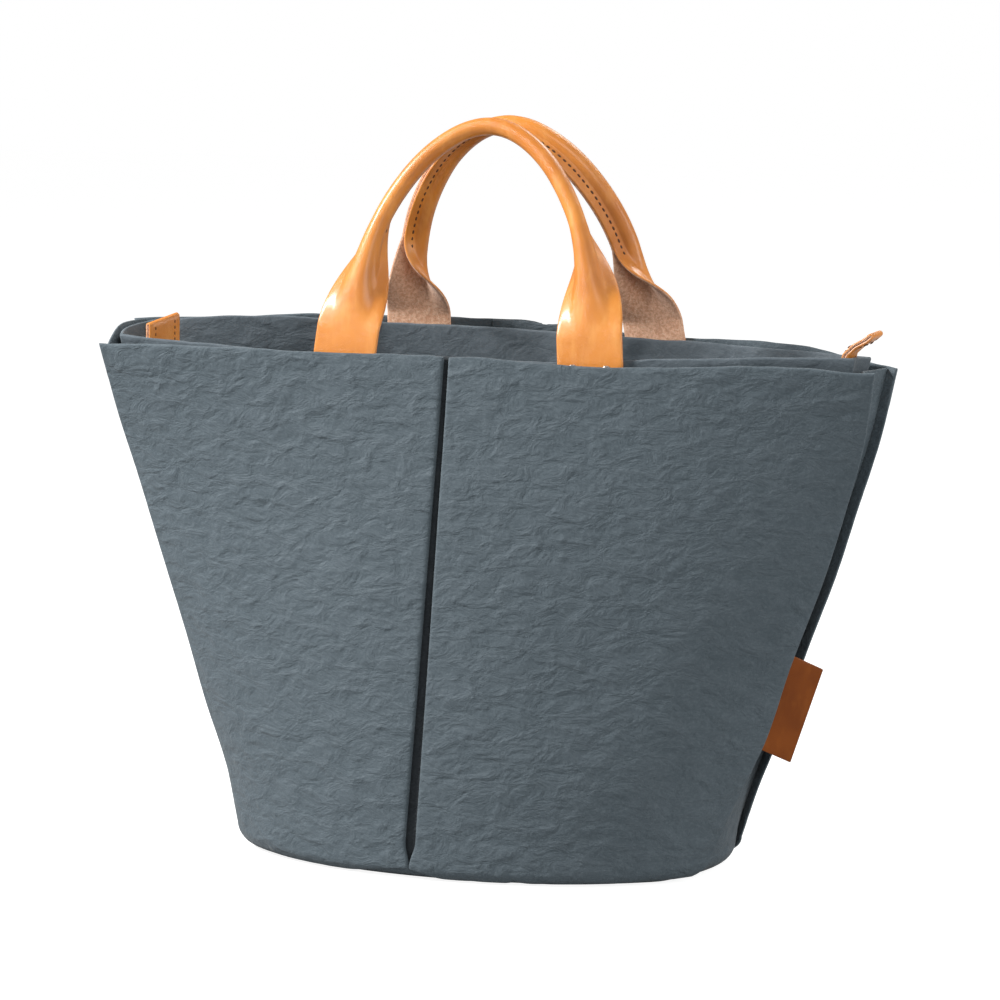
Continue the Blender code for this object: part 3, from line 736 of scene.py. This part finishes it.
def spread(first, last, count, near):
    """Places from first to last, closer together near the first."""
    return [mix(first, last, mix((i / count) ** 2, i / count, near)) for i in range(count)]


def crescent(side, x):
    """1 beside the front pleat, where the lower edge is high and the base shows, and 0 elsewhere."""
    if side == BACK:
        return 0.0
    left = (x - CRESCENT_LEFT) / (CRESCENT_PEAK - CRESCENT_LEFT)
    right = (CRESCENT_RIGHT - x) / (CRESCENT_RIGHT - CRESCENT_PEAK)
    return ease(min(left, right))


def under(side, along, share, inset=0.0, reach=1.0):
    """A point of the cloth below the seam's height, where it turns in round the base."""
    high = wall_point(side, along, 0.0)
    stop = mix(UNDER_TURN, LIFTED_TURN, crescent(side, high.x))
    turn = math.radians(mix(90, stop, share))
    away = 1 - math.sin(turn)
    squeeze = (BASE_ROUND + BASE_END_ROUND) * away / half_length(0.0)
    point = wall_point(side, along * (1 - squeeze), 0.0, inset + BASE_ROUND * away * reach)
    point.z = high.z - (high.z - CLOTH / 2 + UNDER_GAP) * math.cos(turn) * reach
    return point


def make_panel(name, side):
    rolls = (SOFT_ROLL, CRISP_ROLL) if side == FRONT else (CRISP_ROLL, SOFT_ROLL)
    grid, inn = [], []
    for step in range(-UNDER_ROWS, PANEL_ROWS + 1):
        height = max(0, step) / PANEL_ROWS
        low = max(0, -step) / UNDER_ROWS
        fold = pleat_path(*rolls, height)
        middle, length, centre = pleat_x(side, height), half_length(height), centre_x(height)

        def along_at(across):
            return (middle + across - centre) / length

        def cloth_point(along, inset=0.0):
            if low:
                return under(side, along, low, inset, 1 - ease(inset / CLOTH))
            return wall_point(side, along, height, inset)

        first, last = along_at(fold[0][0]), along_at(fold[-1][0])
        row = []
        for start, stop in ((-1.0, first), (1.0, last)):
            half = []
            for along in spread(start, stop, PANEL_COLUMNS, COLUMN_SPREAD):
                bumps = relief(cloth_point(along), PANEL_SEED * side)
                press = dents(PANEL_DENTS, side, along, height) - bumps
                to_pleat, to_seam = abs(stop - along) * length, abs(along - start) * length
                calm = ease(to_pleat / CALM_AT_PLEAT) * ease(to_seam / CALM_AT_SEAM)
                half.append(cloth_point(along, press * mix(CALM_RELIEF, 1.0, calm)))
            if start < 0:
                row = half + [cloth_point(along_at(across), inset) for across, inset in fold]
            else:
                row += reversed(half)
        if side == BACK:
            row.reverse()
        for point in row:
            point.z += rim_wave(point, height, PANEL_RIM_SEED * side)
        grid.append([tuple(point) for point in row])
        hem = ease((RIM_HEIGHT * height - RIM_HEIGHT + HEM_DEPTH) / HEM_STEP)
        inn.append([CLOTH / 2 + HEM_SWELL * hem] * len(row))
    inn = np.array(inn)
    inn[:, PANEL_COLUMNS:PANEL_COLUMNS + len(fold)] = CLOTH / 2
    # These columns lie deep inside the pleat and get the near-black cloth: painted shade where the fold's
    # shadow falls.
    painted_shade_columns = (PANEL_COLUMNS + TURN_STEPS - 1, PANEL_COLUMNS + len(fold) - TURN_STEPS + 1)
    finishes = [OUTER_CLOTH, OUTER_CLOTH, EDGE_CLOTH_PAINTED_HIGHLIGHT, PLEAT_PAINTED_SHADE_CLOTH]
    return slab(name, grid, CLOTH / 2, inn, finishes, painted_shade=painted_shade_columns)


def fold_share(end, height):
    """The fold of the gusset as a share of GUSSET_FOLD; the left end relaxes outward near the rim."""
    share = section("fold", height)
    return share if end > 0 else mix(share, END_SWELL, ease((height - 1 + TOP_RELAX) / TOP_RELAX))


def make_gusset(name, end):
    grid = []
    for step in range(-UNDER_ROWS, PANEL_ROWS + 1):
        height = max(0, step) / PANEL_ROWS
        low = max(0, -step) / UNDER_ROWS
        along = end * (1 - SEAM_RIDGE / half_length(height))
        if low:
            front, back = (under(side, along, low, GUSSET_SEAT) for side in (FRONT, BACK))
        else:
            front, back = (wall_point(side, along, height, GUSSET_SEAT) for side in (FRONT, BACK))
        fold = GUSSET_FOLD * fold_share(end, height)
        row = []
        for i in range(GUSSET_COLUMNS + 1):
            share = i / GUSSET_COLUMNS
            point = front.lerp(back, share)
            peak = min(1.0, 1 + GUSSET_SOFT - math.hypot(2 * share - 1, GUSSET_SOFT))
            point.x -= end * fold * (peak if fold > 0 else math.sin(math.pi * share))
            calm = ease(4 * share) * ease(4 - 4 * share)
            point.x += end * relief(point, GUSSET_SEED + end, *GUSSET_RELIEF) * calm
            if end < 0:
                rise = ease((height - END_LIFT_FROM) / (1 - END_LIFT_FROM))
                point.z += END_LIFT * rise * math.sin(math.pi * share)
            point.z += GUSSET_WAVE * rim_wave(point, height, GUSSET_RIM_SEED) * calm
            row.append(tuple(point))
        grid.append(row if end > 0 else row[::-1])
    return slab(name, grid, CLOTH / 2, CLOTH / 2, [OUTER_CLOTH, OUTER_CLOTH, EDGE_CLOTH_PAINTED_HIGHLIGHT])


def fold_x(end, height):
    fold = GUSSET_FOLD * fold_share(end, height)
    return centre_x(height) + end * (half_length(height) - SEAM_RIDGE - fold)


def end_middle(height):
    return -END_LEAN * section("lean", height)


def ring(height, inset, end_gap, level, press=None):
    """A closed level inside the outer bag, inset from its large panels and end_gap inside its gussets."""
    length = half_length(height)
    width = END_HALF_WIDTH * section("end", height)
    folds = {end: GUSSET_FOLD * fold_share(end, height) for end in (-1, 1)}
    inside = {end: max(0.0, fold) * min(1.0, inset / width) for end, fold in folds.items()}
    ends = {end: 1 - (SEAM_RIDGE + end_gap + inside[end]) / length for end in (-1, 1)}
    steps = [math.sin(math.pi / 2 * step / RING_COLUMNS) for step in range(-RING_COLUMNS, RING_COLUMNS + 1)]
    places = [share * ends[1 if share > 0 else -1] for share in steps]
    sides = {}
    for side in (FRONT, BACK):
        row = []
        for along in places:
            extra = 0.0
            if press:
                reach = ends[1 if along > 0 else -1]
                extra = press(side, along, height) * ease((reach - abs(along)) * length / CALM_AT_END)
            point = wall_point(side, along, height, inset + extra)
            point.z = level(side, along)
            row.append(point)
        sides[side] = row
    points = []
    for side, end, order in ((FRONT, 1, 1), (BACK, -1, -1)):
        row = sides[side][::order]
        points += row
        start, stop = row[-1], sides[-side][-1 if end > 0 else 0]
        shift = fold_x(end, height) - end * end_gap - (start.x + stop.x) / 2
        for i in range(1, END_COLUMNS):
            share = i / END_COLUMNS
            point = start.lerp(stop, share)
            peak = 1 + INNER_END_SOFT - math.hypot(2 * share - 1, INNER_END_SOFT)
            peak = min(1.0, peak) if folds[end] > 0 else math.sin(math.pi * share)
            point.x += shift * peak
            points.append(point)
    return [tuple(point) for point in points]


def make_base():
    low = CLOTH / 2
    grid = []
    rim = None
    for step in range(BASE_STEPS + 1):
        turn = math.pi / 2 * step / BASE_STEPS
        inset = BASE_SETBACK + BASE_SLACK + BASE_ROUND * (1 - math.sin(turn))
        end_gap = inset + BASE_END_ROUND * (1 - math.sin(turn))

        def level(side, along, turn=turn):
            return mix(seam_height(along) - 2 * CLEARANCE, low, math.cos(turn))

        row = ring(0.0, inset, end_gap, level)
        if rim is None:
            rim = np.array(row)
            middle = rim.mean(axis=0)
            for share in BASE_RINGS:
                grid.append([tuple(p) for p in middle + (rim - middle) * share])
        grid.append(row)
    return slab("base", grid, CLOTH / 2, CLOTH / 2, [OUTER_CLOTH], wrap=True, round_bottom=False)


# Inner bag

def strap_inset():
    return CLOTH / 2 + WALL_SLACK + RIVET_CAP_THICKNESS + CLEARANCE + HANDLE_LEATHER / 2


def inner_inset():
    return strap_inset() + HANDLE_LEATHER / 2 + CLEARANCE + RIVET_BACK_THICKNESS + 2 * CLEARANCE + CLOTH / 2


INNER_DENTS = [
    Dent(BACK, -0.475, 0.96, 0.030, 0.20, -1.2, 0),
    Dent(BACK, -0.435, 0.96, 0.045, 0.16, 1.0, 0),
    Dent(BACK, 0.12, 0.95, 0.06, 0.09, 1.2, 20),
    Dent(BACK, 0.30, 0.95, 0.05, 0.12, -0.8, -25),
    Dent(FRONT, 0.55, 0.93, 0.12, 0.06, -0.3, 0),
]


def make_inner():
    def press(side, along, height):
        point = wall_point(side, along, height)
        return dents(INNER_DENTS, side, along, height) - relief(point, INNER_SEED + side, *INNER_RELIEF)

    floor = CLOTH + CLEARANCE + CLOTH / 2
    grid = []
    for inset, end, up in ((1.0, 1.0, 0.0), (0.4, 0.6, 0.45)):
        def low_level(side, along, up=up):
            return mix(floor, seam_height(along), up)

        floor_inset = mix(inner_inset(), INNER_FLOOR_INSET, inset)
        floor_gap = mix(INNER_END_GAP, INNER_FLOOR_END_GAP, end)
        row = ring(0.0, floor_inset, floor_gap, low_level)
        if not grid:
            rim = np.array(row)
            middle = rim.mean(axis=0)
            for share in FLOOR_RINGS:
                grid.append([tuple(p) for p in middle + (rim - middle) * share])
        grid.append(row)
    for step in range(4, PANEL_ROWS + 1):
        height = step / PANEL_ROWS

        def level(side, along, height=height):
            place = Vector((along * MOUTH_HALF_LENGTH, side * MOUTH_BACK, 0.0))
            wave = rim_wave(place, height, INNER_RIM_SEED)
            return mix(seam_height(along), inner_rim(side, along), height) + wave

        grid.append(ring(height, inner_inset(), INNER_END_GAP, level, press))
    count = len(grid)
    inn = np.full((count, len(grid[0])), CLOTH / 2)
    for row in range(count):
        from_top = (count - 1 - row) / PANEL_ROWS * RIM_HEIGHT
        inn[row] += HEM_SWELL * ease((HEM_DEPTH - from_top) / HEM_STEP)
    finishes = [INNER_CLOTH, INNER_CLOTH, EDGE_CLOTH_PAINTED_HIGHLIGHT]
    return slab("inner_lining", grid, CLOTH / 2, inn, finishes, wrap=True, round_bottom=False)


# Handles

def strap_section(curl, steps=7):
    """(across, inward) of the strap's middle line: flat at curl 0, a tube with a raised seam at curl 1."""
    arc = TUBE_RADIUS * math.radians(TUBE_TURN)
    back = FLANGE_RADIUS * math.radians(FLANGE_TURN)
    half = STRAP_WIDTH / 2

    def angle(place):
        if place < arc:
            return place / TUBE_RADIUS
        if place < arc + back:
            return math.radians(TUBE_TURN) - (place - arc) / FLANGE_RADIUS
        return math.radians(TUBE_TURN - FLANGE_TURN)

    stops = [arc * step / steps for step in range(1, steps + 1)]
    stops += [arc + back * share for share in (0.5, 1.0)]
    stops += [mix(arc + back, half, share) for share in (0.33, 0.66, 1.0)]
    points = [(0.0, 0.0)]
    across, inward, place = 0.0, 0.0, 0.0
    for stop in stops:
        parts = 6
        stride = (stop - place) / parts
        for part in range(parts):
            turn = curl * angle(place + (part + 0.5) * stride)
            across += math.cos(turn) * stride
            inward += math.sin(turn) * stride
        place = stop
        points.append((across, inward))
    return [(-a, b) for a, b in reversed(points[1:])] + points


def handle_point(side, place, half):
    rise = HANDLE_RISE * on_rows(ARCH, "rise", place) if place >= 0 else HANDLE_TUCK * place
    span = HANDLE_HALF_SPAN * (on_rows(ARCH, "span", place) if place >= 0 else 1.0)
    shift = FRONT_HANDLE_SHIFT if side == FRONT else BACK_HANDLE_SHIFT
    drift = FRONT_HANDLE_DRIFT if side == FRONT else BACK_HANDLE_DRIFT
    share = max(0.0, rise / HANDLE_RISE)
    across = shift + half * span - drift * share
    height = height_at(side, across / MOUTH_HALF_LENGTH, RIM_HEIGHT + rise)
    along = (across - centre_x(height)) / half_length(height)
    point = wall_point(side, along, height, strap_inset())
    lean = HANDLE_LEAN * mix(share, share * share, 0.5)
    return Vector((across, point.y - side * lean, RIM_HEIGHT + rise))


def panel_inward(side, across):
    along = across / MOUTH_HALF_LENGTH
    return (wall_point(side, along, 1.0, 0.01) - wall_point(side, along, 1.0)).normalized()


def throat_share(side, above_rim):
    end = FRONT_THROAT_END if side == FRONT else BACK_THROAT_END
    share = min(1.0, max(0.0, (above_rim - THROAT_START) / (end - THROAT_START)))
    return mix(share, ease(share), THROAT_EASE)


def handle_frame(side, place, half):
    step = 0.01
    point = handle_point(side, place, half)
    ahead = handle_point(side, place + step, half) - handle_point(side, place - step, half)
    ahead = ahead.normalized() * -half
    curl = throat_share(side, point.z - RIM_HEIGHT)
    straight = Vector((0.0, -side, 0.0))
    turned = -Vector(FRONT_SEAM if side == FRONT else BACK_SEAM)
    inward = panel_inward(side, point.x).lerp(straight.lerp(turned, ease(curl)), curl)
    inward = (inward - ahead * inward.dot(ahead)).normalized()
    return point, ahead, inward, ahead.cross(inward)


def strap_stations():
    places = [-1.0, -0.6, -0.3, -0.1] + [i / ARCH_STEPS for i in range(ARCH_STEPS + 1)]
    return [(place, -1) for place in places] + [(place, 1) for place in reversed(places[:-1])]


def strap_base(side, point, ahead, inward, curl):
    """Where the strap's middle line starts, so that its tube keeps its place however its seam is turned."""
    straight = Vector((0.0, -side, 0.0))
    level = (straight - ahead * straight.dot(ahead)).normalized()
    return point + level * TUBE_RADIUS * curl - inward * TUBE_RADIUS * curl


def make_handle(name, side):
    rows = []
    for place, half in strap_stations():
        point, ahead, inward, across = handle_frame(side, place, half)
        curl = throat_share(side, point.z - RIM_HEIGHT)
        base = strap_base(side, point, ahead, inward, curl)
        rows.append([tuple(base + across * a + inward * b) for a, b in strap_section(curl)])
    return slab(name, rows, HANDLE_LEATHER / 2, HANDLE_LEATHER / 2, [FLESH, GRAIN, GRAIN_EDGE])


def make_stitches(name, spots, finish):
    """Short thread capsules, one at each (point, along, out of the surface)."""
    form = bmesh.new()
    for point, along, out in spots:
        along = along.normalized()
        side = along.cross(out).normalized()
        out = side.cross(along).normalized()
        turn = Matrix((side, out, along)).transposed().to_4x4()
        turn.translation = point
        squash = Matrix.Diagonal((STITCH_RADIUS, STITCH_RADIUS * STITCH_FLATNESS, STITCH_LENGTH / 2, 1.0))
        bmesh.ops.create_icosphere(form, subdivisions=2, radius=1.0, matrix=turn @ squash)
    mesh = bpy.data.meshes.new(name)
    form.to_mesh(mesh)
    form.free()
    mesh.materials.append(finish)
    mesh.shade_smooth()
    made = bpy.data.objects.new(name, mesh)
    bpy.context.scene.collection.objects.link(made)
    return made


def flange_stitches(side):
    """Stitch places on both faces of a handle's raised seam."""
    spots = []
    length, last = 0.0, None
    wanted = 0.0
    for i in range(2 * SEAM_STEPS + 1):
        half, place = (-1, i / SEAM_STEPS) if i <= SEAM_STEPS else (1, 2 - i / SEAM_STEPS)
        point, ahead, inward, across = handle_frame(side, place, half)
        curl = throat_share(side, point.z - RIM_HEIGHT)
        if last is not None:
            length += (point - last).length
        last = point
        if curl < STITCH_FROM_CURL or length < wanted:
            continue
        wanted = length + STITCH_PITCH
        base = strap_base(side, point, ahead, inward, curl)
        ends = strap_section(curl)
        for sign, (a, b), (c, d) in ((-1, ends[0], ends[1]), (1, ends[-1], ends[-2])):
            run = Vector((c - a, d - b, 0.0)).normalized() * STITCH_INSET
            spot = base + across * (a + run.x) + inward * (b + run.y)
            spots.append((spot + across * sign * HANDLE_LEATHER / 2, ahead, across * sign))
    return spots


# Tabs and tag

def folded_path(reach, leather):
    """(out, through) of a strip folded back on itself, in fine steps."""
    half = (leather + LAYER_GAP) / 2
    path = [(reach * share, -half) for share in (0.0, 0.2, 0.4, 0.6, 0.75, 0.9)]
    turns = [math.pi * step / TURN_STEPS for step in range(TURN_STEPS + 1)]
    path += [(reach - half + half * math.sin(turn), -half * math.cos(turn)) for turn in turns]
    path += [(reach * share, half) for share in (0.9, 0.75, 0.6, 0.4, 0.2, 0.0)]
    return path


def tab_frame(row):
    inside = INNER_END_GAP + CLOTH / 2 + CLEARANCE + TAB_LEATHER + LAYER_GAP / 2
    rim = max(inner_rim(FRONT, row.end), inner_rim(BACK, row.end))

    def at_end(height, stand_off, z):
        fold = GUSSET_FOLD * section("fold", height)
        wall = centre_x(height) + row.end * (half_length(height) - SEAM_RIDGE - fold)
        x = wall - row.end * (inside + TAB_WIDTH * stand_off)
        return Vector((x, end_middle(height), z))

    foot = at_end(1 - TAB_TUCK / rim, row.foot, rim - TAB_TUCK)
    top = at_end(1.0, row.top, rim + TAB_LIFT)
    lean, turn = math.radians(row.lean), math.radians(row.turn)
    up = (top - foot).normalized()
    over = Vector((row.end * math.sin(lean), 0.0, math.cos(lean)))
    width = Vector((-row.end * math.sin(turn), math.cos(turn), math.sin(math.radians(row.roll))))
    return foot, (top - foot).length, up, over, width


def tab_point(row, out, through, across):
    foot, tuck, up, over, width = tab_frame(row)
    below, above = min(out, tuck), max(0.0, out - tuck)
    direction = up.lerp(over, ease(above / TAB_BEND)).normalized()
    sideways = Vector((direction.z, 0.0, -direction.x))
    return foot + up * below + direction * above + sideways * through + width * across


def make_tab(row):
    tuck = tab_frame(row)[1]
    total = tuck + TAB_REACH * row.reach
    count = TAB_HALF_COLUMNS
    places = [TAB_WIDTH / 2 * i / count for i in range(-count, count + 1)]
    rows = [[tuple(tab_point(row, out, through, place)) for place in places]
            for out, through in folded_path(total, TAB_LEATHER)]
    made = slab(row.name + "_leather", rows, TAB_LEATHER / 2, TAB_LEATHER / 2, [FLESH, GRAIN, GRAIN_EDGE])
    spots = []
    thick = TAB_LEATHER + LAYER_GAP / 2
    for place in (-1, 1):
        across = place * (TAB_WIDTH / 2 - TAB_STITCH_INSET)
        out = total - TAB_STITCH_FROM
        while out > total - TAB_STITCH_TO:
            for side in (-1, 1):
                here = tab_point(row, out, side * thick, across)
                ahead = tab_point(row, out + 0.001, side * thick, across) - here
                face = here - tab_point(row, out, 0.0, across)
                spots.append((here - face.normalized() * STITCH_SINK, ahead, face))
            out -= TAB_STITCH_PITCH
    return made, make_stitches(row.name + "_stitches", spots, THREAD)


def make_tag():
    height = (TAG_HEIGHT - SEAM_HEIGHT) / (RIM_HEIGHT - SEAM_HEIGHT)
    reach = TAG_LENGTH / 2 / RIM_HEIGHT
    low, high = wall_point(FRONT, 1.0, height - reach), wall_point(FRONT, 1.0, height + reach)
    seam = (high - low).normalized()
    edge = (low + high) / 2
    outward = edge - wall_point(FRONT, 1 - SEAM_RIDGE / half_length(height), height)
    outward = (outward - seam * outward.dot(seam)).normalized()
    inward = outward.cross(seam) * FRONT
    outward = Matrix.Rotation(math.radians(TAG_DROOP), 3, inward) @ outward
    tuck = SEAM_RIDGE / 2
    behind = CLOTH / 2 + CLEARANCE + TAG_LEATHER + LAYER_GAP / 2 + TAG_STAND_OFF
    count = TAG_HALF_COLUMNS
    places = [TAG_LENGTH / 2 * i / count for i in range(-count, count + 1)]
    rows = []
    for out, through in folded_path(tuck + TAG_WIDTH, TAG_LEATHER):
        centre = edge + outward * (out - tuck) + inward * (behind + through)
        rows.append([tuple(centre + seam * place) for place in places])
    return slab("tag_leather", rows, TAG_LEATHER / 2, TAG_LEATHER / 2, [TAG_GRAIN, TAG_GRAIN, TAG_EDGE])


dress(make_panel("front_cloth", FRONT), "outer_cloth", "front_panel")
dress(make_panel("back_cloth", BACK), "outer_cloth", "back_panel")
dress(make_gusset("left_fold", -1), "outer_cloth", "left_gusset")
dress(make_gusset("right_fold", 1), "outer_cloth", "right_gusset")
dress(make_base(), "outer_cloth", "base_panel")
dress(make_inner(), "inner_cloth", "inner_bag")
for name, side in (("front", FRONT), ("back", BACK)):
    dress(make_handle(f"{name}_strap", side), "handle_leather", f"{name}_handle")
    dress(make_stitches(f"{name}_strap_stitches", flange_stitches(side), THREAD), "handle_leather")
for row in TABS:
    tab, stitches = make_tab(row)
    dress(tab, "handle_leather", row.name)
    dress(stitches, "handle_leather")
dress(make_tag(), "tag_leather", "side_tag")
for name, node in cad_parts.items():
    if name.endswith("_rivet"):
        for place in node.material_slots:
            place.material = METAL


# Stage, light and camera

def seen_strength(tree, as_light, as_seen):
    """A strength that is one value for the camera and another for the light it gives."""
    seen = tree.nodes.new("ShaderNodeLightPath").outputs["Is Camera Ray"]
    strength = tree.nodes.new("ShaderNodeMapRange")
    strength.inputs["To Min"].default_value = as_light
    strength.inputs["To Max"].default_value = as_seen
    tree.links.new(seen, strength.inputs["Value"])
    return strength.outputs["Result"]


def make_floor():
    n = Nodes("Pale floor")
    grit = n.noise(n.place, 40.0, 2.0)
    colour = n.blend(n.ramp(grit, 0.3, 0.7), (0.33, 0.33, 0.33), (0.35, 0.35, 0.35))
    glow = seen_strength(n.tree, 0.0, FLOOR_GLOW)
    finish = n.finish(colour, 0.9, n.bump(grit, 0.0001, 0.1),
                      Emission_Color=(1.0, 1.0, 1.0), Emission_Strength=glow)
    corners = [(x * FLOOR_HALF, y * FLOOR_HALF, 0) for x, y in ((-1, -1), (1, -1), (1, 1), (-1, 1))]
    mesh = bpy.data.meshes.new("floor")
    mesh.from_pydata(corners, [], [(0, 1, 2, 3)])
    mesh.materials.append(finish)
    floor = bpy.data.objects.new("floor", mesh)
    bpy.context.scene.collection.objects.link(floor)


def make_light(lamp):
    data = bpy.data.lights.new(lamp.name, "AREA")
    data.shape = "DISK"
    data.size = lamp.size
    data.energy = lamp.power
    light = bpy.data.objects.new(lamp.name, data)
    light.location = lamp.place
    light.rotation_euler = (Vector(lamp.aim) - Vector(lamp.place)).to_track_quat("-Z", "Y").to_euler()
    bpy.context.scene.collection.objects.link(light)


def make_world():
    """A white backdrop, dimmer as light than as seen, so that the key light shapes the cloth."""
    world = bpy.data.worlds.new("Studio")
    world.use_nodes = True
    tree = world.node_tree
    tree.links.new(seen_strength(tree, AMBIENT, 1.0), tree.nodes["Background"].inputs["Strength"])
    tree.nodes["Background"].inputs["Color"].default_value = (1.0, 1.0, 1.0, 1.0)
    bpy.context.scene.world = world


def make_camera():
    data = bpy.data.cameras.new("camera")
    data.sensor_width = SENSOR_WIDTH
    data.lens = CAMERA_LENS
    camera = bpy.data.objects.new("camera", data)
    azimuth, elevation = math.radians(CAMERA_AZIMUTH), math.radians(CAMERA_ELEVATION)
    level = math.cos(elevation)
    away = Vector((math.sin(azimuth) * level, -math.cos(azimuth) * level, math.sin(elevation)))
    camera.location = Vector(CAMERA_AIM) + away * CAMERA_DISTANCE
    camera.rotation_euler = (-away).to_track_quat("-Z", "Y").to_euler()
    bpy.context.scene.collection.objects.link(camera)
    bpy.context.scene.camera = camera


make_floor()
make_world()
for lamp in LAMPS:
    make_light(lamp)
bpy.context.scene.view_settings.view_transform = "Standard"
make_camera()
